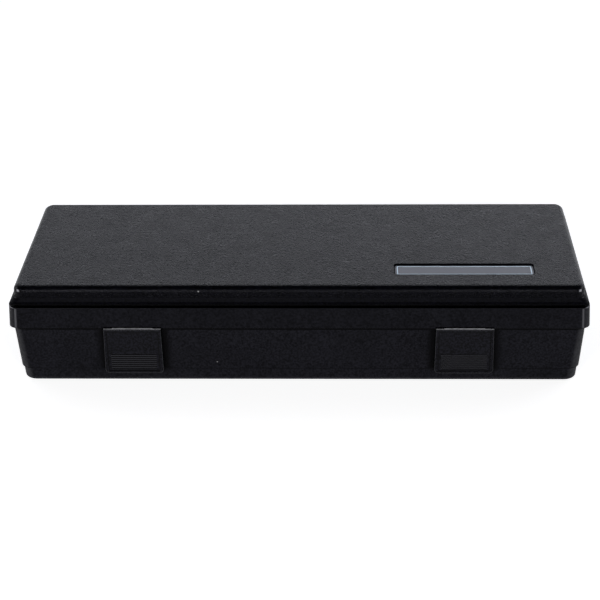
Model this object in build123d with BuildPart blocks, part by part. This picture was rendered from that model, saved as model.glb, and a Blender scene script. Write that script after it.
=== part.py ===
from build123d import *
import os
from math import tan, radians, sin, cos

# Microphone case, closed. Origin at the middle of the underside, +Z up, X along the case,
# hinges at +Y, latches at -Y. An "inset" is a distance inward from the edge of the lid's lip,
# and negative where a face stands out past it.

# ---------------------------------------------------------------- driving dimensions, mm
# outline over the lid's lip
case_length = 312.6
case_depth = 118.0

# base: plinth, drafted body, band round the rim
plinth_height = 7.8
plinth_step_depth = 0.7
plinth_draft = 4.8
plinth_edge_radius = 1.2
body_height = 34.5
body_inset = 0.70
body_draft = 3.7
body_corner_radius = 6.0
foot_corner_radius = 7.2
band_height = 12.3
band_top_inset = -0.60
band_flare = 0.55
band_corner_radius = 5.0
band_edge_radius = 0.6
band_foot_radius = 0.4
wall = 2.5
floor_thickness = 2.5

# lid: shallow tray with a flared lip
lid_height = 9.6
lip_gap = 1.4
lip_thickness = 0.35
lip_corner_radius = 1.2
flare_knee_height = 0.9
flare_knee_inset = 1.0
flare_height = 2.8
flare_knee_radius = 1.0
flare_blend_radius = 1.5
lid_wall_inset = 1.65
lid_draft = 4.5
lid_corner_radius = 5.5
lid_edge_radius = 3.4
lid_wall = 2.0
lid_roof = 2.2
spigot_depth = 2.2
spigot_wall = 1.4

# name plate in the lid's top
plate_length = 76.5
plate_width = 13.8
plate_corner_radius = 2.0
plate_recess_depth = 0.8
plate_thickness = 0.55
plate_side_margin = 27.6
plate_front_margin = 17.8

# hinges
hinge_end_margin = 66.3
hinge_pin_radius = 1.0
hinge_barrel_radius = 2.6
hinge_lid_knuckle = 12.0
hinge_base_knuckle = 9.0
hinge_gusset_drop = 6.5
hinge_arm_rise = 2.6

# latches
latch_end_margin = 66.2
latch_width = 31.2
latch_spread = 1.0
latch_proud = 1.0
latch_top_gap = 0.4
latch_bottom_z = 6.6
latch_tilt = 3.0
latch_skin = 1.2
latch_corner_radius = 2.4
latch_edge_radius = 0.5
latch_flank = 1.2
latch_barrel_radius = 1.8
latch_pin_radius = 1.0
latch_swing = 22.0
arm_width = 22.0
arm_thickness = 2.0
arm_height = 9.2
nose_depth = 0.3
nose_height = 1.4
panel_margin = 1.3
panel_depth = 0.3
grip_length = 25.0
grip_height = 9.7
grip_bottom_margin = 2.3
grip_depth = 0.5
rib_count = 7
rib_share = 0.5

# catches on the lid, and the bays in the base that they and the latches' arms work in
bay_wall = 1.8
catch_width = 20.0
catch_thickness = 1.4
catch_swing_room = 0.8
barb_depth = 0.5
barb_height = 1.8

# foam
pad_thickness = 11.0
back_web = 12.5
middle_web = 8.0
mic_slot_length = 264.0
mic_slot_width = 26.0
shield_slot_length = 186.0
front_web = 11.2
clip_pocket_length = 62.0
clip_pocket_radius = 8.0
thumb_notch_radius = 17.5

# clearances
running_gap = 0.05
seat_gap = 0.05
side_gap = 0.3
plate_gap = 0.2
foam_gap = 0.3
swing_gap = 0.4

# ---------------------------------------------------------------- places worked out from them
front_y = -case_depth / 2
back_y = case_depth / 2
rim_z = body_height + band_height
lip_z = rim_z + lip_gap
lip_top_z = lip_z + lip_thickness
case_height = lip_z + lid_height
lid_seat_z = rim_z + seat_gap
roof_z = case_height - lid_roof
band_bottom_inset = band_top_inset - band_flare
inner_corner_radius = max(body_corner_radius - wall, wall / 2)
lid_inner_radius = max(lid_corner_radius - lid_wall, lid_wall / 2)
spigot_inner_radius = max(lid_inner_radius - spigot_wall, spigot_wall / 2)


def body_face_inset(z):
    """Inset of the drafted body's outer face at height z."""
    return body_inset + (body_height - z) * tan(radians(body_draft))


def cavity_inset(z):
    """Inset of the base's inner face at height z."""
    return body_face_inset(z) + wall


def lid_face_inset(z):
    """Inset of the lid's outer wall at height z."""
    return lid_wall_inset + (z - lip_z) * tan(radians(lid_draft))


# hinge axis: behind the band, level with the gap between lip and band
hinge_y = back_y - band_bottom_inset + hinge_barrel_radius + side_gap
hinge_z = (rim_z + lip_z) / 2
hinge_offset = case_length / 2 - hinge_end_margin
hinge_centres = (-hinge_offset, hinge_offset)
lid_knuckle_half = hinge_lid_knuckle / 2
base_knuckle_start = lid_knuckle_half + side_gap
base_knuckle_end = base_knuckle_start + hinge_base_knuckle

# spigot: the ring under the lid that drops inside the base's rim
spigot_z = rim_z - spigot_depth
spigot_inset = cavity_inset(spigot_z) + side_gap
spigot_inner_inset = spigot_inset + spigot_wall

# latch pivot: just under the band, its barrel level with the latch's top ledge
latch_offset = case_length / 2 - latch_end_margin
latch_centres = (-latch_offset, latch_offset)
latch_half = latch_width / 2
ledge_z = body_height - latch_top_gap
pivot_z = ledge_z - latch_barrel_radius
pivot_y = front_y + body_face_inset(pivot_z) + side_gap
band_face_y = front_y + band_bottom_inset
latch_front_y = band_face_y - latch_proud
ledge_back_y = pivot_y - latch_barrel_radius

# catch: a tongue down from the lid's wall, its barb just short of the arm's nose
catch_front_y = front_y + lid_wall_inset + swing_gap
catch_back_y = catch_front_y + catch_thickness
arm_top_z = pivot_z + arm_height
catch_z = arm_top_z - nose_height - swing_gap - barb_height
arm_front_y = catch_back_y + barb_depth + side_gap + nose_depth
arm_back_y = arm_front_y + arm_thickness
arm_half = arm_width / 2

# bay: room for the arm over its swing, and for the catch in front of it
swing = radians(latch_swing)
bay_half = arm_half + swing_gap
bay_front_y = catch_front_y - catch_swing_room
bay_back_y = pivot_y + (arm_back_y - pivot_y) * cos(swing) + arm_height * sin(swing) + swing_gap
bay_z = (pivot_z - latch_barrel_radius * cos(swing) - (arm_front_y - pivot_y) * sin(swing)
         - swing_gap)
bay_outer_half = bay_half + bay_wall
bay_outer_y = bay_back_y + bay_wall
# the band is cut away over each latch as high as the ledge rises where it passes the band's face
ledge_reach = pivot_y - band_face_y + latch_barrel_radius * sin(swing)
relief_z = pivot_z + latch_barrel_radius * cos(swing) + ledge_reach * tan(swing) + side_gap

# ---------------------------------------------------------------- shared shapes


def outline(z, inset, radius):
    """A rounded rectangle at height z, inset from the lip's outline."""
    with BuildSketch(Plane.XY.offset(z)) as ring:
        RectangleRounded(case_length - 2 * inset, case_depth - 2 * inset, radius)
    return ring.sketch


def on(centres, low, high):
    """The spans from low to high about each centre."""
    return [(centre + low, centre + high) for centre in centres]


def beside(centres, near, far):
    """The spans from near to far on both sides of each centre."""
    return on(centres, near, far) + on(centres, -far, -near)


def blocks(spans, y, z, mode=Mode.ADD):
    """Boxes in the part being built: equal spans in X, and low and high values in Y and Z."""
    with Locations(*[((x[0] + x[1]) / 2, (y[0] + y[1]) / 2, (z[0] + z[1]) / 2) for x in spans]):
        Box(spans[0][1] - spans[0][0], y[1] - y[0], z[1] - z[0], mode=mode)


def rods(spans, y, z, radius, mode=Mode.ADD):
    """Round bars along X in the part being built, one over each of the equal spans."""
    with Locations(*[((x[0] + x[1]) / 2, y, z) for x in spans]):
        Cylinder(radius, spans[0][1] - spans[0][0], rotation=(0, 90, 0), mode=mode)


def bars(spans, *corners):
    """Prisms along X in the part being built: one (y, z) outline over each of the equal spans."""
    with BuildSketch(*[Plane.YZ.offset(x[0]) for x in spans]) as ends:
        Polygon(*corners, align=None)
    extrude(ends.sketch, amount=spans[0][1] - spans[0][0])


# ---------------------------------------------------------------- base shell
with BuildPart() as base_shell:
    # band
    loft([outline(body_height, band_bottom_inset, band_corner_radius),
          outline(rim_z, band_top_inset, band_corner_radius)])
    fillet(base_shell.faces().sort_by(Axis.Z)[-1].edges(), band_edge_radius)
    fillet(base_shell.faces().sort_by(Axis.Z)[0].edges(), band_foot_radius)
    # body
    loft([outline(plinth_height, body_face_inset(plinth_height), foot_corner_radius),
          outline(body_height, body_inset, body_corner_radius)])
    # plinth
    plinth_inset = body_face_inset(plinth_height) + plinth_step_depth
    foot_inset = plinth_inset + plinth_height * tan(radians(plinth_draft))
    loft([outline(0, foot_inset, foot_corner_radius),
          outline(plinth_height, plinth_inset, foot_corner_radius)])
    fillet(base_shell.faces().sort_by(Axis.Z)[0].edges(), plinth_edge_radius)
    # hollow, drafted like the outside
    loft([outline(floor_thickness, cavity_inset(floor_thickness), inner_corner_radius),
          outline(rim_z, cavity_inset(rim_z), inner_corner_radius)], mode=Mode.SUBTRACT)
    # bays, walled off inside, with ears beside each latch's barrel
    blocks(on(latch_centres, -bay_outer_half, bay_outer_half),
           (bay_front_y + wall / 2, bay_outer_y), (bay_z - bay_wall, rim_z))
    rods(beside(latch_centres, bay_half, bay_outer_half), pivot_y, pivot_z, latch_barrel_radius)
    blocks(on(latch_centres, -bay_half, bay_half),
           (bay_front_y, bay_back_y), (bay_z, rim_z), Mode.SUBTRACT)
    blocks(on(latch_centres, -bay_half, bay_half),
           (latch_front_y, bay_front_y), (bay_z, relief_z), Mode.SUBTRACT)
    blocks(on(latch_centres, -latch_half - swing_gap, latch_half + swing_gap),
           (latch_front_y, front_y + body_inset), (body_height, relief_z), Mode.SUBTRACT)
    rods(on(latch_centres, -bay_outer_half, bay_outer_half), pivot_y, pivot_z,
         latch_pin_radius + running_gap, Mode.SUBTRACT)
    # hinge knuckles on gussets behind the band
    base_knuckles = beside(hinge_centres, base_knuckle_start, base_knuckle_end)
    rods(base_knuckles, hinge_y, hinge_z, hinge_barrel_radius)
    bars(base_knuckles, (back_y - wall / 2, rim_z), (hinge_y, rim_z),
         (hinge_y + hinge_barrel_radius * cos(radians(30)), hinge_z - hinge_barrel_radius / 2),
         (back_y - wall / 2, rim_z - hinge_gusset_drop))
    rods(on(hinge_centres, -base_knuckle_end, base_knuckle_end), hinge_y, hinge_z,
         hinge_pin_radius + running_gap, Mode.SUBTRACT)

# ---------------------------------------------------------------- lid shell
with BuildPart() as lid_shell:
    # wall and roof
    loft([outline(lid_seat_z, lid_face_inset(lid_seat_z), lid_corner_radius),
          outline(case_height, lid_face_inset(case_height), lid_corner_radius)])
    fillet(lid_shell.faces().sort_by(Axis.Z)[-1].edges(), lid_edge_radius)
    # lip: a thin edge with squarer corners, flared down and out from the wall
    knee_z = lip_top_z + flare_knee_height
    flare_z = lip_top_z + flare_height
    knee_corner_radius = (lip_corner_radius + lid_corner_radius) / 2
    loft([outline(lip_z, 0, lip_corner_radius), outline(lip_top_z, 0, lip_corner_radius)])
    loft([outline(lip_top_z, 0, lip_corner_radius),
          outline(knee_z, flare_knee_inset, knee_corner_radius)])
    loft([outline(knee_z, flare_knee_inset, knee_corner_radius),
          outline(flare_z, lid_face_inset(flare_z), lid_corner_radius)])
    for height, radius in ((flare_z, flare_blend_radius), (knee_z, flare_knee_radius)):
        ring = lid_shell.edges().filter_by_position(Axis.Z, height - seat_gap, height + seat_gap)
        fillet(ring, radius)
    # hollow
    lid_inner_inset = lid_wall_inset + lid_wall
    loft([outline(lid_seat_z, lid_inner_inset, lid_inner_radius),
          outline(roof_z, lid_inner_inset, lid_inner_radius)], mode=Mode.SUBTRACT)
    # spigot, with a gap over each bay
    with BuildSketch(Plane.XY.offset(spigot_z)):
        RectangleRounded(case_length - 2 * spigot_inset, case_depth - 2 * spigot_inset,
                         lid_inner_radius)
        RectangleRounded(case_length - 2 * spigot_inner_inset, case_depth - 2 * spigot_inner_inset,
                         spigot_inner_radius, mode=Mode.SUBTRACT)
    extrude(amount=lip_z - spigot_z)
    blocks(on(latch_centres, -bay_outer_half - side_gap, bay_outer_half + side_gap),
           (catch_front_y, bay_outer_y + side_gap), (spigot_z, lid_seat_z + side_gap), Mode.SUBTRACT)
    # catches
    catches = on(latch_centres, -catch_width / 2, catch_width / 2)
    blocks(catches, (catch_front_y, catch_back_y), (catch_z, lip_top_z))
    bars(catches, (catch_back_y, catch_z), (catch_back_y + barb_depth / 2, catch_z),
         (catch_back_y + barb_depth, catch_z + barb_height / 2),
         (catch_back_y + barb_depth, catch_z + barb_height), (catch_back_y, catch_z + barb_height))
    # recess for the name plate
    plate_x = case_length / 2 - plate_side_margin - plate_length / 2
    plate_y = front_y + plate_front_margin + plate_width / 2
    with BuildSketch(Plane.XY.offset(case_height)):
        with Locations((plate_x, plate_y)):
            RectangleRounded(plate_length, plate_width, plate_corner_radius)
    extrude(amount=-plate_recess_depth, mode=Mode.SUBTRACT)
    # hinge knuckles on arms from the wall
    lid_knuckles = on(hinge_centres, -lid_knuckle_half, lid_knuckle_half)
    arm_root_y = back_y - lid_wall_inset - lid_wall / 2
    rods(lid_knuckles, hinge_y, hinge_z, hinge_barrel_radius)
    bars(lid_knuckles, (arm_root_y, lip_z), (hinge_y, lip_z),
         (hinge_y, hinge_z + hinge_barrel_radius), (arm_root_y, lip_z + hinge_arm_rise))
    rods(lid_knuckles, hinge_y, hinge_z, hinge_pin_radius + running_gap, Mode.SUBTRACT)

# ---------------------------------------------------------------- name plate, blank
with BuildPart() as name_plate:
    with BuildSketch(Plane.XY.offset(case_height - plate_recess_depth)):
        with Locations((plate_x, plate_y)):
            RectangleRounded(plate_length - 2 * plate_gap, plate_width - 2 * plate_gap,
                             plate_corner_radius - plate_gap)
    extrude(amount=plate_thickness)

# ---------------------------------------------------------------- foam
with BuildPart() as foam_base_pad:
    pad_z = floor_thickness + foam_gap
    pad_top_z = pad_z + pad_thickness
    loft([outline(pad_z, cavity_inset(pad_z) + foam_gap, inner_corner_radius),
          outline(pad_top_z, cavity_inset(pad_top_z) + foam_gap, inner_corner_radius)])

with BuildPart() as foam_base_tray:
    tray_z = pad_top_z + foam_gap
    tray_top_z = spigot_z - foam_gap
    tray_inset = cavity_inset(tray_top_z) + foam_gap
    loft([outline(tray_z, cavity_inset(tray_z) + foam_gap, inner_corner_radius),
          outline(tray_top_z, tray_inset, inner_corner_radius)])
    # cut away round the bays
    blocks(on(latch_centres, -bay_outer_half - foam_gap, bay_outer_half + foam_gap),
           (front_y, bay_outer_y + foam_gap), (tray_z, tray_top_z), Mode.SUBTRACT)
    # die-cut pockets: microphone at the back, windshield and stand clip in front of it
    mic_slot_y = back_y - tray_inset - back_web - mic_slot_width / 2
    front_slot_back_y = mic_slot_y - mic_slot_width / 2 - middle_web
    front_slot_width = front_slot_back_y - (bay_outer_y + foam_gap + front_web)
    front_slot_y = front_slot_back_y - front_slot_width / 2
    shield_slot_x = (shield_slot_length - mic_slot_length) / 2
    clip_pocket_x = (mic_slot_length - clip_pocket_length) / 2
    with BuildSketch(Plane.XY.offset(tray_z)):
        with Locations((0, mic_slot_y)):
            SlotOverall(mic_slot_length, mic_slot_width)
            Circle(thumb_notch_radius)
        with Locations((shield_slot_x, front_slot_y)):
            SlotOverall(shield_slot_length, front_slot_width)
        with Locations((clip_pocket_x, front_slot_y)):
            RectangleRounded(clip_pocket_length, front_slot_width, clip_pocket_radius)
    extrude(amount=tray_top_z - tray_z, mode=Mode.SUBTRACT)

with BuildPart() as foam_lid:
    foam_lid_z = rim_z + swing_gap
    foam_lid_inset = spigot_inner_inset + foam_gap
    with BuildSketch(Plane.XY.offset(foam_lid_z)):
        RectangleRounded(case_length - 2 * foam_lid_inset, case_depth - 2 * foam_lid_inset,
                         spigot_inner_radius)
    extrude(amount=roof_z - foam_gap - foam_lid_z)

parts = {"base_shell": base_shell, "lid_shell": lid_shell, "name_plate": name_plate,
         "foam_base_pad": foam_base_pad, "foam_base_tray": foam_base_tray, "foam_lid": foam_lid}

# ---------------------------------------------------------------- latches and their pins
slope = tan(radians(latch_tilt))
latch_height = ledge_z - latch_bottom_z
face_length = latch_height / cos(radians(latch_tilt))
latch_foot_y = latch_front_y + latch_height * slope
latch_foot_half = latch_half + latch_height * tan(radians(latch_spread))
hollow_half = latch_half - latch_flank
hollow_z = latch_bottom_z + latch_flank
skin_back_y = latch_front_y + latch_skin


def latch_face(centre, drop):
    """A plane on the latch's sloping front, drop below its top edge, X to the right."""
    return Plane(origin=(centre, latch_front_y + drop * slope, ledge_z - drop), x_dir=(1, 0, 0),
                 z_dir=(0, -cos(radians(latch_tilt)), -sin(radians(latch_tilt))))


for side, centre in zip(("left", "right"), latch_centres):
    full_width = [(centre - latch_foot_half, centre + latch_foot_half)]
    hollow_width = [(centre - hollow_half, centre + hollow_half)]
    barrel = [(centre - arm_half, centre + arm_half)]
    with BuildPart() as latch:
        # plate: a sloping front, flanks that stop just short of the body
        bars(full_width, (latch_front_y, ledge_z), (latch_foot_y, latch_bottom_z),
             (front_y + body_face_inset(latch_bottom_z) - swing_gap, latch_bottom_z),
             (front_y + body_face_inset(pivot_z) - swing_gap, pivot_z - swing_gap),
             (ledge_back_y, pivot_z + latch_barrel_radius / 2), (ledge_back_y, ledge_z))
        # its sides spread a little towards the foot
        with BuildSketch(Plane.XZ):
            Polygon((centre - latch_half, ledge_z), (centre - latch_foot_half, latch_bottom_z),
                    (centre + latch_foot_half, latch_bottom_z), (centre + latch_half, ledge_z),
                    align=None)
        extrude(amount=case_depth, mode=Mode.INTERSECT)
        foot_corners = latch.faces().sort_by(Axis.Z)[0].edges().filter_by(Axis.Y)
        fillet(foot_corners, latch_corner_radius)
        fillet(latch.faces().sort_by(Axis.Y)[0].edges(), latch_edge_radius)
        # hollow back
        with BuildSketch(Plane.YZ.offset(hollow_width[0][0])):
            Polygon((skin_back_y, ledge_z - latch_flank),
                    (skin_back_y + (ledge_z - latch_flank - hollow_z) * slope, hollow_z),
                    (pivot_y + latch_barrel_radius, hollow_z),
                    (pivot_y + latch_barrel_radius, ledge_z - latch_flank), align=None)
        extrude(amount=2 * hollow_half, mode=Mode.SUBTRACT)
        # barrel, joined to the skin, with an arm that rises behind the band and ends in a nose
        rods(barrel, pivot_y, pivot_z, latch_barrel_radius)
        blocks(barrel, (skin_back_y - side_gap, pivot_y),
               (pivot_z - latch_barrel_radius, ledge_z))
        bars(barrel, (pivot_y, pivot_z - latch_barrel_radius),
             (arm_front_y, pivot_z - latch_barrel_radius), (arm_back_y, pivot_z),
             (arm_back_y, arm_top_z), (arm_front_y, arm_top_z),
             (arm_front_y - nose_depth, arm_top_z - nose_height / 3),
             (arm_front_y - nose_depth, arm_top_z - nose_height),
             (arm_front_y, arm_top_z - nose_height), (arm_front_y, pivot_z), (pivot_y, pivot_z))
        # room for the base's ears beside the barrel, and the pin's bore
        rods(beside([centre], arm_half, hollow_half), pivot_y, pivot_z,
             latch_barrel_radius + swing_gap, Mode.SUBTRACT)
        rods(barrel, pivot_y, pivot_z, latch_pin_radius + running_gap, Mode.SUBTRACT)
        # sunk panel inside a raised border
        with BuildSketch(latch_face(centre, latch_height / 2)):
            RectangleRounded(latch_width - 2 * panel_margin, face_length - 2 * panel_margin,
                             latch_corner_radius / 2)
        extrude(amount=-panel_depth, mode=Mode.SUBTRACT)
        # grip: grooves across the panel, ribs between them
        rib_pitch = grip_height / (rib_count + rib_share)
        with BuildSketch(latch_face(centre, latch_height - grip_bottom_margin - grip_height / 2)):
            Rectangle(grip_length, grip_height)
            with GridLocations(0, rib_pitch, 1, rib_count):
                Rectangle(grip_length, rib_pitch * rib_share, mode=Mode.SUBTRACT)
        extrude(amount=-panel_depth - grip_depth, mode=Mode.SUBTRACT)
    parts[f"latch_{side}"] = latch

    with BuildPart() as latch_pin:
        rods(on([centre], -bay_outer_half, bay_outer_half), pivot_y, pivot_z, latch_pin_radius)
    parts[f"latch_pin_{side}"] = latch_pin

# ---------------------------------------------------------------- hinge pins
for side, centre in zip(("left", "right"), hinge_centres):
    with BuildPart() as hinge_pin:
        rods(on([centre], -base_knuckle_end, base_knuckle_end), hinge_y, hinge_z,
             hinge_pin_radius)
    parts[f"hinge_pin_{side}"] = hinge_pin

# ---------------------------------------------------------------- export
os.makedirs("parts", exist_ok=True)
for name, piece in parts.items():
    piece.part.label = name
    export_step(piece.part, f"parts/{name}.step")

print(f"hinge axis y {hinge_y:.3f} z {hinge_z:.3f}, latch pivots y {pivot_y:.3f} z {pivot_z:.3f}")
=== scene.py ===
from math import cos, pi, radians, sin, tan

import bmesh
import bpy
import numpy as np
from mathutils import Matrix, Vector, noise


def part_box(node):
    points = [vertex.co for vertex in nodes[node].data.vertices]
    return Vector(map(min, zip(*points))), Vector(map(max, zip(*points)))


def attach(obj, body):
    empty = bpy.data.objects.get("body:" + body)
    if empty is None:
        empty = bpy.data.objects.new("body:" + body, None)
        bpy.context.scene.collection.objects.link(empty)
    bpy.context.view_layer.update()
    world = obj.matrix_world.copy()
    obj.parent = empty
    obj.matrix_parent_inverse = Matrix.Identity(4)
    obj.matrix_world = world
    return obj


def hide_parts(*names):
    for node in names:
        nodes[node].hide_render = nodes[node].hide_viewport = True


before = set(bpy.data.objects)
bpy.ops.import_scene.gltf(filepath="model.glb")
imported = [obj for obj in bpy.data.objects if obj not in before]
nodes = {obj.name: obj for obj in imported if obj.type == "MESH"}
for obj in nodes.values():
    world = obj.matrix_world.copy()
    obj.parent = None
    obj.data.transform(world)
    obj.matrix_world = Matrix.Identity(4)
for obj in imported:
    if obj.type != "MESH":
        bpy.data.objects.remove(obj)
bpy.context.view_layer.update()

# A closed microphone case. X runs along it, the latches are at -Y and the hinges at +Y, and it
# stands on Z = 0. Lengths are in metres, written as millimetres times MM.
MM = 0.001

# ---------------------------------------------------------------- camera
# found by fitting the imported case's outline to the photograph's
IMAGE_PX = 600
SENSOR_MM = 36.0
FOCAL_PX = 1660.224
CAMERA_AT = Vector((0.0274083, -0.853345, 0.4528103))
LOOK_DOWN, TURN, ROLL = radians(26.8067), radians(1.8863), radians(0.8535)
NEAREST, FARTHEST = 0.01, 50


def make_camera():
    ahead = Vector((-cos(LOOK_DOWN) * sin(TURN), cos(LOOK_DOWN) * cos(TURN), -sin(LOOK_DOWN)))
    right = Vector((cos(TURN), sin(TURN), 0))
    up = right.cross(ahead)
    right, up = right * cos(ROLL) - up * sin(ROLL), right * sin(ROLL) + up * cos(ROLL)
    data = bpy.data.cameras.new("camera")
    data.sensor_width = SENSOR_MM
    data.lens = FOCAL_PX / IMAGE_PX * SENSOR_MM
    data.clip_start, data.clip_end = NEAREST, FARTHEST
    camera = bpy.data.objects.new("camera", data)
    camera.matrix_world = Matrix((right, up, -ahead)).transposed().to_4x4()
    camera.location = CAMERA_AT
    bpy.context.scene.collection.objects.link(camera)
    bpy.context.scene.camera = camera


make_camera()


# ---------------------------------------------------------------- building with nodes
class Nodes:
    """A node tree and short calls that add nodes to it. Most return the socket that they make."""

    def __init__(self, tree):
        self.tree = tree

    def node(self, kind, inputs=(), **settings):
        """A new node: inputs go by their name or number, and settings are its properties."""
        made = self.tree.nodes.new("ShaderNode" + kind)
        for key, value in settings.items():
            setattr(made, key, value)
        for key, value in dict(inputs).items():
            self.put(value, made.inputs[key])
        return made

    def put(self, value, socket):
        """Link the value to a socket, or set it there if it is a number or a colour."""
        if isinstance(value, bpy.types.NodeSocket):
            self.tree.links.new(value, socket)
        else:
            socket.default_value = value

    def math(self, operation, a, b=0.0, clamp=False):
        made = self.node("Math", {0: a, 1: b}, operation=operation, use_clamp=clamp)
        return made.outputs[0]

    def chain(self, operation, values):
        result = values[0]
        for value in values[1:]:
            result = self.math(operation, result, value)
        return result

    def times(self, *values):
        return self.chain("MULTIPLY", values)

    def plus(self, *values):
        return self.chain("ADD", values)

    def minus(self, a, b):
        return self.math("SUBTRACT", a, b)

    def most(self, *values):
        return self.chain("MAXIMUM", values)

    def least(self, *values):
        return self.chain("MINIMUM", values)

    def absolute(self, value):
        return self.math("ABSOLUTE", value)

    def remap(self, value, low, high, to_low=0.0, to_high=1.0, smooth=True):
        """The value's stretch from low to high, moved to run from to_low to to_high."""
        inputs = {"Value": value, "From Min": low, "From Max": high,
                  "To Min": to_low, "To Max": to_high}
        kind = "SMOOTHSTEP" if smooth else "LINEAR"
        return self.node("MapRange", inputs, interpolation_type=kind).outputs["Result"]

    def rise(self, value, low, high):
        """0 up to low, and 1 from high on."""
        return self.remap(value, low, high)

    def fall(self, value, low, high):
        """1 up to low, and 0 from high on."""
        return self.remap(value, low, high, 1.0, 0.0)

    def spread(self, value, low, high, smooth=True):
        """Noise, which is mostly between 0.3 and 0.7, spread over low to high."""
        return self.remap(value, 0.3, 0.7, low, high, smooth)

    def axis(self, vector, letter):
        return self.node("SeparateXYZ", {"Vector": vector}).outputs[letter]

    def place(self, stretch=(1, 1, 1)):
        """Position in the piece, in metres, stretched along each axis."""
        coord = self.node("TexCoord").outputs["Object"]
        return self.node("Mapping", {"Vector": coord, "Scale": stretch}).outputs["Vector"]

    def facing(self, letter):
        """How much the surface faces along an axis of the piece, from -1 to 1."""
        return self.axis(self.node("TexCoord").outputs["Normal"], letter)

    def noise(self, size, at=None, detail=3.0, rough=0.55):
        inputs = {"Vector": at or self.place(), "Scale": 1 / size, "Detail": detail,
                  "Roughness": rough}
        return self.node("TexNoise", inputs).outputs["Fac"]

    def cells(self, size, at=None, feature="F1", output="Distance"):
        inputs = {"Vector": at or self.place(), "Scale": 1 / size}
        return self.node("TexVoronoi", inputs, feature=feature).outputs[output]

    def between(self, share, a, b):
        """Number a where share is 0, and b where it is 1."""
        return self.node("Mix", {0: share, 2: a, 3: b}, data_type="FLOAT").outputs[0]

    def blend(self, share, a, b):
        """Colour a where share is 0, and b where it is 1."""
        made = self.node("Mix", data_type="RGBA")
        for value, index in ((share, 0), (a, 6), (b, 7)):
            self.put((*value, 1) if isinstance(value, tuple) else value, made.inputs[index])
        return made.outputs[2]

    def layers(self, colour, *paints):
        """The colour under layers of paint, lowest first, each a share and the paint's colour."""
        for share, paint in paints:
            colour = self.blend(share, colour, paint)
        return colour

    def shaded(self, colour, factor):
        """The colour times a number that changes over the surface."""
        grey = self.node("CombineColor", {0: factor, 1: factor, 2: factor}).outputs[0]
        inputs = {0: 1.0, 6: (*colour, 1), 7: grey}
        return self.node("Mix", inputs, data_type="RGBA", blend_type="MULTIPLY").outputs[2]

    def bump(self, height, depth, strength=1.0):
        inputs = {"Height": height, "Distance": depth, "Strength": strength}
        return self.node("Bump", inputs).outputs["Normal"]


class Shader(Nodes):
    """The nodes of a material. A socket's name is written with _ for each space."""

    def __init__(self, name, **values):
        self.material = bpy.data.materials.new(name)
        self.material.use_nodes = True
        super().__init__(self.material.node_tree)
        self.main = self.tree.nodes["Principled BSDF"]
        self.shade(**values)

    def shade(self, **values):
        """Put values or sockets in the main shader, and give the material."""
        for key, value in values.items():
            self.put(value, self.main.inputs[key.replace("_", " ")])
        return self.material


# ---------------------------------------------------------------- places on the case
# heights of the step over the plinth, the band round the base's rim, and the lid's lip
PLINTH_TOP, BAND_FOOT, RIM_TOP, LIP_FOOT = 7.8 * MM, 34.3 * MM, 46.8 * MM, 48.2 * MM
# each latch: how far out its middle is, half its width, its foot, and how its face leans
LATCH_X, LATCH_HALF, LATCH_FOOT, LATCH_LEAN = 90.1 * MM, 15.6 * MM, 6.6 * MM, tan(radians(3.0))
# the ledge along its top, the panel sunk in its face, and the ribbed grip in the panel
LEDGE_FRONT, LEDGE_TOP = -61.15 * MM, 34.1 * MM
PANEL_BORDER, PANEL_DEPTH = 1.3 * MM, 0.3 * MM
PANEL_HALF = LATCH_HALF - PANEL_BORDER
PANEL_FOOT, PANEL_TOP = LATCH_FOOT + PANEL_BORDER, LEDGE_TOP - PANEL_BORDER
GRIP_HALF, GRIP_FOOT, GRIP_TOP = 12.5 * MM, LATCH_FOOT + 2.2 * MM, LATCH_FOOT + 12.1 * MM

# ---------------------------------------------------------------- colours
COOL_GLOSS = (0.9, 0.9, 1.0, 1)
BLACK, LID_BLACK, SHADOW = (0.0058, 0.0058, 0.0076), (0.0012, 0.0012, 0.002), (0, 0, 0)
LATCH_BLACK, LATCH_GREY = (0.0007, 0.0007, 0.0012), (0.0076, 0.0076, 0.011)
# painted shade in the ribs' grooves and along the panel's border, and a painted highlight on the
# rib crests
GROOVE_SHADE_BLACK, RIB_CREST_HIGHLIGHT = (0.001, 0.001, 0.0015), (0.02, 0.02, 0.023)
# pale paints: patches at the foot and a painted highlight on the latches' edges; painted
# highlights and glints on corners, partly rubbing wear; wear and painted highlight along the
# latches' ledges
PALE_FOOT_AND_HIGHLIGHT, RUB_AND_HIGHLIGHT_GREY, WORN_AND_HIGHLIGHT = (0.045, 0.045, 0.05), (0.27, 0.27, 0.29), (0.72, 0.72, 0.76)
DUST = (0.25, 0.25, 0.25)
# pairs of tones, dark and pale, that a material runs between
STEEL_GREYS = (0.42, 0.42, 0.43), (0.6, 0.6, 0.6)
FOAM_GREYS = (0.012, 0.012, 0.0135), (0.09, 0.09, 0.097)
PLATE_GREYS = (0.125, 0.132, 0.155), (0.155, 0.162, 0.185)
STRIPE_BLUES = (0.6, 0.74, 0.84), (0.7, 0.84, 0.94)
# the plate's rim, painted dark as the recess's shadow
RIM_SHADOW_BLACKS = (0.001, 0.001, 0.0015), (0.002, 0.002, 0.003)


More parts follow.
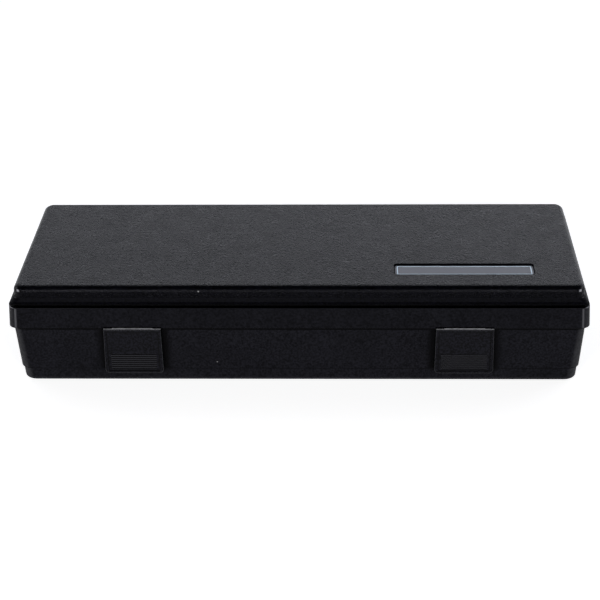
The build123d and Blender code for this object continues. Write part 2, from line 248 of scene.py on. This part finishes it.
# ---------------------------------------------------------------- what the plastics share
def leather(shader):
    """Height of a fine moulded leather grain: pebbles of about a millimetre, creases between."""
    pebble, lump, wave, push = 1.3 * MM, 1.9 * MM, 3.0 * MM, 1.1 * MM
    bent = shader.node("TexNoise", {"Vector": shader.place(), "Scale": 1 / wave})
    pushed = shader.node("VectorMath", {0: bent.outputs["Color"], "Scale": push},
                         operation="SCALE")
    at = shader.node("VectorMath", {0: shader.place(), 1: pushed.outputs["Vector"]},
                     operation="ADD")
    edges = shader.cells(pebble, at.outputs["Vector"], "DISTANCE_TO_EDGE")
    pebbles = shader.rise(edges, 0.0, 0.28)
    lumps = shader.noise(lump, detail=4.0, rough=0.7)
    return shader.plus(shader.times(pebbles, 0.6), shader.times(lumps, 1.6))


def dust(shader, spacing, share):
    """1 on small scattered specks, 0 elsewhere: share of the cells of that spacing have one."""
    near = shader.fall(shader.cells(spacing), 0.02, 0.07)
    chosen = shader.axis(shader.cells(spacing, output="Color"), "X")
    return shader.times(near, shader.math("LESS_THAN", chosen, share))


def speckle(shader, low, high, smooth=False):
    """Points about a millimetre across that run from low to high: the pebbles of the grain."""
    fine = shader.noise(1.1 * MM, detail=2.0, rough=0.6)
    return shader.remap(fine, 0.35, 0.65, low, high, smooth)


def corner_rub_and_highlight(shader):
    """How pale a case's corners are painted, as rubbing wear and painted highlight: faint along
    upright corners, and a painted glint where three sides meet.
    """
    two_sides = shader.absolute(shader.times(shader.facing("X"), shader.facing("Y")))
    # painted highlight along upright corners, partly rubbing wear, and a painted glint where three
    # sides meet
    upright = shader.remap(two_sides, 0.15, 0.5, 0.0, 0.1)
    point = shader.rise(shader.times(two_sides, shader.facing("Z")), 0.165, 0.19)
    patchy = shader.spread(shader.noise(1.8 * MM), 0.5, 1.0)
    return shader.times(shader.most(upright, point), patchy)


def glint_mask(shader, aside, up):
    """1 on each corner where the surface faces aside and up by so much, and 0 elsewhere: where a
    painted glint or highlight goes.
    """
    soft = 0.06
    shares = []
    for value, (low, high) in ((shader.absolute(shader.facing("X")), aside),
                               (shader.facing("Z"), up)):
        shares.append(shader.rise(value, low - soft, low + soft))
        shares.append(shader.fall(value, high - soft, high + soft))
    return shader.times(*shares)


def plastic(name, tint, rough, specular, contrast, rub_and_highlight):
    """Black moulded plastic with grain, faint clouds, dust specks, and corners painted pale as
    rubbing wear and painted highlight.

    It gives the shader, the grain's height, the colour and the roughness.
    """
    shader = Shader(name, Specular_IOR_Level=specular, Specular_Tint=COOL_GLOSS)
    height = leather(shader)
    clouds = shader.noise(22 * MM, detail=4.0, rough=0.6)
    tone = shader.times(shader.spread(clouds, 0.85, 1.15, smooth=False),
                        speckle(shader, 1 - contrast, 1 + contrast))
    specks = dust(shader, spacing=9 * MM, share=0.12)
    # corners painted pale, as rubbing wear and painted highlight
    colour = shader.layers(shader.shaded(tint, tone), (specks, DUST),
                           (shader.times(corner_rub_and_highlight(shader), rub_and_highlight), RUB_AND_HIGHLIGHT_GREY))
    roughness = shader.remap(height, 0.4, 1.8, rough + 0.06, rough - 0.04, smooth=False)
    return shader, height, colour, roughness


# ---------------------------------------------------------------- materials
def lid_plastic():
    """Grained lid, coarsest on its top: painted glints at the upper corners, and painted shade
    along the foot of the lip.
    """
    shader, height, colour, roughness = plastic("lid_plastic", LID_BLACK, rough=0.3,
                                                specular=0.047, contrast=0.9, rub_and_highlight=0.2)
    level = shader.axis(shader.place(), "Z")
    # painted glints on the upper corners of the lid
    corner_glint = shader.times(glint_mask(shader, aside=(0.32, 0.56), up=(0.2, 0.46)),
                         shader.rise(level, LIP_FOOT + 5.6 * MM, LIP_FOOT + 6.2 * MM))
    # painted shade along the foot of the lip, where the gap to the base falls dark
    lip = shader.fall(level, LIP_FOOT + 0.1 * MM, LIP_FOOT + 0.5 * MM)
    colour = shader.layers(colour, (corner_glint, RUB_AND_HIGHLIGHT_GREY), (lip, SHADOW))

    smudges = shader.noise(9 * MM, detail=5.0, rough=0.65)
    smudged = shader.plus(roughness, shader.spread(smudges, -0.05, 0.05, smooth=False))
    flare = shader.fall(level, LIP_FOOT + 3.0 * MM, LIP_FOOT + 4.4 * MM)

    up = shader.facing("Z")
    top_depth = shader.remap(shader.rise(up, 0.9, 1.0), 0.0, 1.0, 0.07 * MM, 0.95 * MM,
                             smooth=False)
    wall_depth = shader.remap(shader.absolute(up), 0.12, 0.3, 0.3 * MM, 0.0)
    return shader.shade(Base_Color=colour, Roughness=shader.between(flare, smudged, 0.6),
                        Normal=shader.bump(height, shader.plus(top_depth, wall_depth)))


def latch_shadow(shader, place):
    """Up to 1 on the front, in a strip along each side of each latch, and 0 elsewhere."""
    aside = shader.minus(shader.absolute(shader.axis(place, "X")), LATCH_X)
    inner = shader.rise(aside, -LATCH_HALF - 6.2 * MM, -LATCH_HALF - 1.4 * MM)
    outer = shader.remap(aside, LATCH_HALF + 0.8 * MM, LATCH_HALF + 6.3 * MM, 0.95, 0.0)
    return shader.times(shader.least(inner, outer),
                        shader.rise(shader.axis(place, "Z"), 5 * MM, 9 * MM),
                        shader.math("LESS_THAN", shader.axis(place, "Y"), 0.0))


def base_plastic():
    """Grained body, a smooth darker band round the rim, paler in patches at the foot, painted
    shade under the band, at the top of the rim, next to the latches and along the plinth step, and
    painted highlights at the band's corners.
    """
    shader, height, colour, roughness = plastic("case_plastic", BLACK, rough=0.45,
                                                specular=0.035, contrast=0.6, rub_and_highlight=1.0)
    place = shader.place()
    level = shader.axis(place, "Z")
    band = shader.math("GREATER_THAN", level, BAND_FOOT - 0.1 * MM)
    body = shader.minus(1.0, band)

    # paler in patches towards the foot
    foot = shader.times(shader.fall(level, 0.2 * MM, 2.2 * MM),
                        shader.spread(shader.noise(3 * MM), 0.4, 1.0))
    # painted shade just under the band
    under_band_shade = shader.times(body, shader.rise(level, BAND_FOOT - 2.1 * MM,
                                                BAND_FOOT - 1.2 * MM))
    # painted shade at the top of the rim, in the gap under the lid
    rim = shader.rise(level, RIM_TOP - 0.6 * MM, RIM_TOP - 0.1 * MM)
    # a painted dark line of shade along the plinth step
    step = shader.times(shader.remap(level, PLINTH_TOP - 0.5 * MM, PLINTH_TOP - 0.1 * MM,
                                     0.0, 0.7),
                        shader.fall(level, PLINTH_TOP + 0.2 * MM, PLINTH_TOP + 0.6 * MM))
    # painted shadows next to the latches
    beside_shadow = shader.times(latch_shadow(shader, place), body)
    painted_shade = shader.most(under_band_shade, rim, beside_shadow, step)
    # painted glints at the top corners of the band
    rim_corner_glint = shader.times(shader.rise(level, RIM_TOP - 0.8 * MM, RIM_TOP - 0.4 * MM),
                              shader.math("MULTIPLY", corner_rub_and_highlight(shader), 6.0, clamp=True))
    # a painted highlight down the band's upright corners
    band_corner_highlight = shader.times(glint_mask(shader, aside=(0.1, 0.28), up=(-0.1, 0.1)), band, 0.25)
    colour = shader.layers(colour, (shader.times(band, 0.25), SHADOW), (foot, PALE_FOOT_AND_HIGHLIGHT),
                           (painted_shade, SHADOW), (rim_corner_glint, RUB_AND_HIGHLIGHT_GREY), (band_corner_highlight, RUB_AND_HIGHLIGHT_GREY))

    fine = shader.times(shader.noise(0.5 * MM, detail=2.0), 0.12)
    grain = shader.plus(shader.times(height, body), fine)
    return shader.shade(Base_Color=colour, Roughness=shader.between(band, roughness, 0.34),
                        Normal=shader.bump(grain, 0.08 * MM))


def latch_plastic():
    """Satin plastic with painted light: a ledge line that is wear and painted highlight, painted
    highlights on the face's rounded edge and the rib crests, and painted shade in the grooves and
    along the panel's border.
    """
    shader = Shader("latch_plastic", Specular_IOR_Level=0.06)
    place = shader.place()
    level, back = shader.axis(place, "Z"), shader.axis(place, "Y")
    aside = shader.absolute(shader.minus(LATCH_X, shader.absolute(shader.axis(place, "X"))))
    lean = shader.times(shader.minus(LEDGE_TOP, level), LATCH_LEAN)
    depth = shader.minus(shader.minus(back, LEDGE_FRONT), lean)
    frontward = shader.times(shader.facing("Y"), -1.0)

    # a pale line along the ledge: wear and painted highlight
    ledge = shader.times(shader.rise(level, LEDGE_TOP - 0.12 * MM, LEDGE_TOP - 0.04 * MM),
                         shader.rise(back, LEDGE_FRONT + 0.5 * MM, LEDGE_FRONT + 0.75 * MM),
                         shader.fall(back, LEDGE_FRONT + 1.9 * MM, LEDGE_FRONT + 2.4 * MM))
    worn_and_highlight = shader.times(ledge, shader.spread(shader.noise(2.5 * MM), 0.6, 1.0))
    # a painted highlight along the face's rounded edge
    edge = shader.times(shader.rise(frontward, 0.1, 0.4), shader.fall(frontward, 0.8, 0.97), 0.6)
    # the rib crests painted pale as a highlight
    ribs = shader.times(shader.math("LESS_THAN", aside, GRIP_HALF),
                        shader.math("LESS_THAN", level, GRIP_TOP),
                        shader.math("GREATER_THAN", level, GRIP_FOOT))
    # painted shade in the grooves between the ribs
    groove_shade = shader.rise(depth, PANEL_DEPTH + 0.1 * MM, PANEL_DEPTH + 0.3 * MM)
    from_border = shader.least(shader.minus(PANEL_HALF, aside), shader.minus(PANEL_TOP, level),
                               shader.minus(level, PANEL_FOOT))
    # a painted line of shade along the inside of the panel's border
    border = shader.times(shader.fall(from_border, 0.4 * MM, 0.8 * MM),
                          shader.math("GREATER_THAN", from_border, 0.0))
    grain = shader.blend(speckle(shader, 0.0, 1.0, smooth=True), LATCH_BLACK, LATCH_GREY)
    colour = shader.layers(grain, (ribs, RIB_CREST_HIGHLIGHT), (shader.most(groove_shade, border), GROOVE_SHADE_BLACK),
                           (edge, PALE_FOOT_AND_HIGHLIGHT), (worn_and_highlight, WORN_AND_HIGHLIGHT))

    fine = shader.noise(0.4 * MM, detail=2.0)
    return shader.shade(Base_Color=colour, Roughness=shader.spread(fine, 0.3, 0.4),
                        Normal=shader.bump(fine, 0.01 * MM, 0.6))


def pin_steel():
    """Bright steel, drawn along its length."""
    shader = Shader("steel_pin", Metallic=1.0)
    drawn = shader.noise(0.12 * MM, shader.place((0.02, 1, 1)))
    return shader.shade(Base_Color=shader.blend(drawn, *STEEL_GREYS),
                        Roughness=shader.spread(drawn, 0.25, 0.42),
                        Normal=shader.bump(drawn, 0.01 * MM, 0.5))


def plate_paint(name, dark, pale, rough, specular):
    """Paint brushed along the case, between two tones."""
    shader = Shader(name, Specular_IOR_Level=specular)
    brushed = shader.noise(0.2 * MM, shader.place((0.03, 1, 1)))
    return shader.shade(Base_Color=shader.blend(brushed, dark, pale),
                        Roughness=shader.spread(brushed, rough, rough + 0.1),
                        Normal=shader.bump(brushed, 0.006 * MM, 0.5))


def foam_skin():
    """Open-cell foam: pores between rounded cells, painted darker down in the pores as shade, and
    a mottled tone.
    """
    shader = Shader("foam", Specular_IOR_Level=0.1, Sheen_Weight=0.15, Sheen_Roughness=0.6)
    rounded = shader.fall(shader.cells(0.75 * MM), 0.1, 0.7)
    pores = shader.cells(0.4 * MM)
    height = shader.plus(rounded, shader.times(pores, -0.5))
    # darker down in the pores: painted shade
    tone = shader.times(shader.rise(height, -0.3, 0.9), shader.noise(5 * MM, detail=4.0))
    return shader.shade(Base_Color=shader.blend(tone, *FOAM_GREYS), Roughness=0.95,
                        Normal=shader.bump(height, 0.25 * MM, 0.9))


def clothe(obj, *materials):
    """Give an object its materials, in place of any that it has."""
    # clearing also sets every face back to the first material, so a new mesh isn't cleared
    if obj.data.materials:
        obj.data.materials.clear()
    for material in materials:
        obj.data.materials.append(material)


latch_look, steel = latch_plastic(), pin_steel()
clothe(nodes["base_shell"], base_plastic())
clothe(nodes["lid_shell"], lid_plastic())
for side in ("left", "right"):
    clothe(nodes["latch_" + side], latch_look)
    clothe(nodes["latch_pin_" + side], steel)
    clothe(nodes["hinge_pin_" + side], steel)


# ---------------------------------------------------------------- pieces modelled here
def keep(mesh_data, name, body, slot, *materials, replaced):
    """A piece that stands for a CAD node, on that node's body."""
    piece = bpy.data.objects.new(name, mesh_data)
    bpy.context.scene.collection.objects.link(piece)
    clothe(piece, *materials)
    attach(piece, body)
    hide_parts(replaced)
    return piece


def rounded_ring(low, high, inset, radius):
    """Points round a rounded rectangle, inset from the corners low and high."""
    steps, least = 8, 0.15 * MM
    radius = max(radius - inset, least)
    x0, x1 = low.x + inset + radius, high.x - inset - radius
    y0, y1 = low.y + inset + radius, high.y - inset - radius
    points = []
    for cx, cy, start in ((x1, y1, 0), (x0, y1, 90), (x0, y0, 180), (x1, y0, 270)):
        for step in range(steps + 1):
            a = radians(start + 90 * step / steps)
            points.append((cx + radius * cos(a), cy + radius * sin(a)))
    return points


def name_plate():
    """Blank plate: a rim painted dark as the recess's shadow, wider at the back, and a sunk field
    with a pale stripe round it.
    """
    low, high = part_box("name_plate")
    radius, bevel, back_shadow_width = 1.8 * MM, 0.1 * MM, Vector((0, 0.8 * MM, 0))
    foot, top = low.z, high.z
    field = top - 0.45 * MM
    raised = field + 0.06 * MM
    # the rim is painted dark as shade, widest at the back where the recess's shadow falls
    ground, stripe, rim = range(3)
    # inset, height and material of each ring in turn, from the foot up and inwards
    rings = [(0, foot, rim), (0, top - bevel, rim), (bevel, top, rim), (0.25 * MM, top, rim),
             (0.3 * MM, field, rim), (1.3 * MM, field, ground), (1.3 * MM, raised, stripe),
             (1.9 * MM, raised, stripe), (1.9 * MM, field, stripe)]
    bm = bmesh.new()
    loops = []
    for inset, z, _ in rings:
        far = high - back_shadow_width if inset > bevel else high
        loops.append([bm.verts.new((x, y, z)) for x, y in rounded_ring(low, far, inset, radius)])
    count = len(loops[0])
    for outer, inner, (_, _, material) in zip(loops, loops[1:], rings[1:]):
        for i in range(count):
            j = (i + 1) % count
            bm.faces.new((outer[i], outer[j], inner[j], inner[i])).material_index = material
    bm.faces.new(loops[-1]).material_index = ground
    bm.faces.new(loops[0][::-1]).material_index = ground
    data = bpy.data.meshes.new("name_plate_blank")
    bm.to_mesh(data)
    bm.free()
    looks = (plate_paint("name_plate", *PLATE_GREYS, rough=0.35, specular=0.1),
             plate_paint("name_plate_stripe", *STRIPE_BLUES, rough=0.3, specular=0.1),
             plate_paint("name_plate_rim_shadow", *RIM_SHADOW_BLACKS, rough=0.6, specular=0.0))
    keep(data, "name_plate_blank", "lid", "name_plate", *looks, replaced="name_plate")


# ---------------------------------------------------------------- foam
def surface_net(field, low, step):
    """A closed mesh round the points where field, sampled on a grid from low, is negative.

    Each cell of the grid that the surface crosses gets one point, at the mean of its crossings,
    and each edge of the grid that it crosses gets one face, between the four cells round it.
    """
    inside = field < 0
    cells = tuple(n - 1 for n in field.shape)
    corners = [(i, j, k) for i in (0, 1) for j in (0, 1) for k in (0, 1)]

    def part(array, corner):
        return array[tuple(slice(c, c + n) for c, n in zip(corner, cells))]

    total, count = np.zeros(cells + (3,)), np.zeros(cells)
    for a in corners:
        for axis in range(3):
            if a[axis]:
                continue
            b = tuple(c + (k == axis) for k, c in enumerate(a))
            crossed = part(inside, a) != part(inside, b)
            fa, fb = part(field, a), part(field, b)
            share = np.where(crossed, fa / np.where(crossed, fa - fb, 1), 0)
            count += crossed
            for k in range(3):
                total[..., k] += crossed * (a[k] + (share if k == axis else 0))
    used = count > 0
    number = np.full(cells, -1)
    number[used] = np.arange(used.sum())
    points = (np.argwhere(used) + total[used] / count[used][:, None]) * step + np.array(low)
    faces = []
    for axis in range(3):
        u, v = (axis + 1) % 3, (axis + 2) % 3
        ahead = tuple(slice(1, None) if k == axis else slice(None) for k in range(3))
        behind = tuple(slice(None, -1) if k == axis else slice(None) for k in range(3))
        for leaving in (True, False):
            hit = (inside[behind] != inside[ahead]) & (inside[behind] == leaving)
            at = np.argwhere(hit)
            quad = []
            for du, dv in ((1, 1), (0, 1), (0, 0), (1, 0)):
                cell = at.copy()
                cell[:, u] -= du
                cell[:, v] -= dv
                quad.append(number[tuple(cell.T)])
            faces.append(np.stack(quad if leaving else quad[::-1], axis=1))
    return points, np.concatenate(faces)


def rounded_box(x, y, half_x, half_y, radius):
    """Signed distance to a rounded rectangle about the origin, negative inside."""
    dx, dy = np.abs(x) - half_x + radius, np.abs(y) - half_y + radius
    outside = np.hypot(np.maximum(dx, 0), np.maximum(dy, 0))
    return outside + np.minimum(np.maximum(dx, dy), 0) - radius


def soft_block(node, plan, step):
    """Foam in the node's place: plan gives the signed distance in X and Y at height z."""
    edge, rough, lump, margin = 0.9 * MM, 0.08 * MM, 9 * MM, 2 * step
    low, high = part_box(node)
    grid = [np.arange(low[k] - margin, high[k] + margin + step, step) for k in range(3)]
    x, y, z = np.meshgrid(*grid, indexing="ij", sparse=True)
    across = plan(x, y, z) + edge
    along = np.abs(z - (low.z + high.z) / 2) - (high.z - low.z) / 2 + edge
    outside = np.hypot(np.maximum(across, 0), np.maximum(along, 0))
    field = outside + np.minimum(np.maximum(across, along), 0) - edge
    points, faces = surface_net(field, [line[0] for line in grid], step)
    data = bpy.data.meshes.new(node + "_soft")
    data.from_pydata(points.tolist(), [], faces.tolist())
    data.update()
    normals = np.empty(len(points) * 3)
    data.vertex_normals.foreach_get("vector", normals)
    # lumps only sink the surface, so that the foam stays in the node's place
    sink = np.array([noise.noise(Vector(p) / lump) - 1 for p in points]) * rough
    points = points + normals.reshape(-1, 3) * sink[:, None]
    data.vertices.foreach_set("co", points.ravel())
    data.polygons.foreach_set("use_smooth", [True] * len(faces))
    data.update()
    return data


# the draft of the base's inside, and the places of the tray's pockets and bays
DRAFT, FOAM_CORNER = tan(radians(3.7)), 3.5 * MM
MIC_Y, MIC_HALF, MIC_RADIUS, THUMB_RADIUS = 30.634 * MM, 132 * MM, 13 * MM, 17.5 * MM
FRONT_Y, FRONT_WIDTH = -13.032 * MM, 45.331 * MM
SHIELD_X, SHIELD_HALF = -39 * MM, 93 * MM
CLIP_X, CLIP_HALF, CLIP_RADIUS = 101 * MM, 31 * MM, 8 * MM
BAY_HALF, BAY_BACK, BAY_DEPTH, BAY_RADIUS = 14.5 * MM, -46.9 * MM, 40 * MM, 0.5 * MM


def drafted(node):
    """Plan of the base's inside at height z, from the node's own box."""
    low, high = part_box(node)
    middle_y = (low.y + high.y) / 2

    def plan(x, y, z):
        less = (high.z - z) * DRAFT
        return rounded_box(x, y - middle_y, (high.x - low.x) / 2 - less,
                           (high.y - low.y) / 2 - less, FOAM_CORNER)

    return plan


def tray_plan(x, y, z):
    """The die-cut tray: pockets for the microphone, its windshield and a clip, and the bays."""
    solid = drafted("foam_base_tray")(x, y, z)
    pockets = (
        rounded_box(x, y - MIC_Y, MIC_HALF, MIC_RADIUS, MIC_RADIUS),
        np.hypot(x, y - MIC_Y) - THUMB_RADIUS,
        rounded_box(x - SHIELD_X, y - FRONT_Y, SHIELD_HALF, FRONT_WIDTH / 2, FRONT_WIDTH / 2),
        rounded_box(x - CLIP_X, y - FRONT_Y, CLIP_HALF, FRONT_WIDTH / 2, CLIP_RADIUS),
        rounded_box(np.abs(x) - LATCH_X, y - BAY_BACK + BAY_DEPTH / 2, BAY_HALF, BAY_DEPTH / 2,
                    BAY_RADIUS),
    )
    for pocket in pockets:
        solid = np.maximum(solid, -pocket)
    return solid


def egg_crate():
    """The lid's foam: a flat back and rows of rounded peaks that face the base."""
    pitch, depth, sharpness, step = 17 * MM, 3.6 * MM, 1.3, 1.9 * MM
    margin, edge_drop = 3 * MM, 0.8 * MM
    lump, rough, clear = 7 * MM, 0.1 * MM, 0.15 * MM
    low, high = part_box("foam_lid")
    columns, rows = (round((high - low)[k] / step) for k in (0, 1))
    bm = bmesh.new()
    under, back = [], []
    for row in range(rows + 1):
        for column in range(columns + 1):
            x = low.x + (high.x - low.x) * column / columns
            y = low.y + (high.y - low.y) * row / rows
            wave = 0.5 + 0.5 * cos(2 * pi * x / pitch) * cos(2 * pi * y / pitch)
            edge = min(x - low.x, high.x - x, y - low.y, high.y - y)
            rounding = edge_drop * max(0, 1 - edge / margin) ** 2
            uneven = rough * noise.noise(Vector((x, y, 0)) / lump)
            z = low.z + clear + depth * (1 - wave) ** sharpness + rounding + uneven
            under.append(bm.verts.new((x, y, z)))
            back.append(bm.verts.new((x, y, high.z)))
    wide = columns + 1
    for row in range(rows):
        for column in range(columns):
            a = row * wide + column
            bm.faces.new((under[a], under[a + wide], under[a + wide + 1], under[a + 1]))
            bm.faces.new((back[a], back[a + 1], back[a + wide + 1], back[a + wide]))
    border = ([c for c in range(columns)] + [r * wide + columns for r in range(rows)]
              + [rows * wide + c for c in range(columns, 0, -1)]
              + [r * wide for r in range(rows, 0, -1)])
    for a, b in zip(border, border[1:] + border[:1]):
        bm.faces.new((under[a], under[b], back[b], back[a]))
    bmesh.ops.recalc_face_normals(bm, faces=bm.faces)
    data = bpy.data.meshes.new("foam_lid_soft")
    bm.to_mesh(data)
    bm.free()
    data.polygons.foreach_set("use_smooth", [True] * len(data.polygons))
    return data


name_plate()
foam = foam_skin()
PAD_STEP, TRAY_STEP = 2.4 * MM, 1.3 * MM
for node, plan, step in (("foam_base_pad", drafted("foam_base_pad"), PAD_STEP),
                         ("foam_base_tray", tray_plan, TRAY_STEP)):
    keep(soft_block(node, plan, step), node + "_soft", "base", "foam", foam,
                   replaced=node)
keep(egg_crate(), "foam_lid_soft", "lid", "foam", foam, replaced="foam_lid")


# ---------------------------------------------------------------- floor, world and lamps
WHITE, ROOM_TINT = (1, 1, 1, 1), (0.9, 0.92, 1.0, 1)
FLOOR_HALF, FLOOR_DROP, FLOOR_GREY, FLOOR_GLOW = 3.0, 0.1 * MM, 0.7, 0.735
LAMP_ELEVATION, LAMP_DISTANCE, LAMP_SIZE = radians(14), 0.9, 0.16
LAMP_AIM = Vector((0, 0, 30 * MM))


def make_floor():
    """A pale floor that keeps the case's shadow, and glows towards the camera to a near white."""
    bpy.ops.mesh.primitive_plane_add(size=2 * FLOOR_HALF, location=(0, 0, -FLOOR_DROP))
    floor = bpy.context.object
    floor.name = "floor"
    shader = Shader("floor", Base_Color=(FLOOR_GREY, FLOOR_GREY, FLOOR_GREY, 1), Roughness=0.9,
                    Specular_IOR_Level=0.0)
    path = shader.node("LightPath").outputs
    seen = shader.most(path["Is Camera Ray"], path["Is Glossy Ray"], path["Is Transmission Ray"])
    glow = shader.node("Emission", {"Color": WHITE, "Strength": FLOOR_GLOW})
    nothing = shader.node("Emission", {"Strength": 0.0})
    chosen = shader.node("MixShader", {0: seen, 1: nothing.outputs[0], 2: glow.outputs[0]})
    both = shader.node("AddShader", {0: shader.main.outputs[0], 1: chosen.outputs[0]})
    shader.put(both.outputs[0], shader.tree.nodes["Material Output"].inputs["Surface"])
    clothe(floor, shader.material)


def make_world():
    """A room that is bright at the back, dim in front and dark overhead; white for the camera."""
    world = bpy.data.worlds.new("room")
    world.use_nodes = True
    bpy.context.scene.world = world
    room = Nodes(world.node_tree)
    toward = room.node("TexCoord").outputs["Generated"]
    # strength by direction: +Y is the back of the room, +Z its ceiling and +X its right side
    behind = room.remap(room.axis(toward, "Y"), 0.1, 0.6, to_low=0.15, to_high=2.2)
    overhead = room.remap(room.axis(toward, "Z"), 0.6, 0.8, to_low=1.0, to_high=0.06)
    sideways = room.remap(room.axis(toward, "X"), -0.25, 0.25, to_low=0.86, to_high=1.08)
    walls = room.tree.nodes["Background"]
    room.put(ROOM_TINT, walls.inputs["Color"])
    room.put(room.times(behind, overhead, sideways), walls.inputs["Strength"])
    white = room.node("Background", {"Color": WHITE, "Strength": 1.0})
    seen = room.node("LightPath").outputs["Is Camera Ray"]
    mix = room.node("MixShader", {0: seen, 1: walls.outputs[0], 2: white.outputs[0]})
    room.put(mix.outputs[0], room.tree.nodes["World Output"].inputs["Surface"])


def make_lamp(name, azimuth, power):
    """A soft square lamp in front of the case, its azimuth in degrees to the right."""
    turn, level = radians(azimuth), cos(LAMP_ELEVATION)
    away = Vector((sin(turn) * level, -cos(turn) * level, sin(LAMP_ELEVATION)))
    data = bpy.data.lights.new(name, "AREA")
    data.shape, data.size, data.energy = "SQUARE", LAMP_SIZE, power
    lamp = bpy.data.objects.new(name, data)
    lamp.location = LAMP_AIM + away * LAMP_DISTANCE
    lamp.rotation_mode = "QUATERNION"
    lamp.rotation_quaternion = away.to_track_quat("Z", "Y")
    bpy.context.scene.collection.objects.link(lamp)


make_floor()
make_world()
make_lamp("lamp_left", azimuth=-19.5, power=3.6)
make_lamp("lamp_right", azimuth=17.5, power=2.8)

bpy.context.scene.view_settings.view_transform = "Standard"
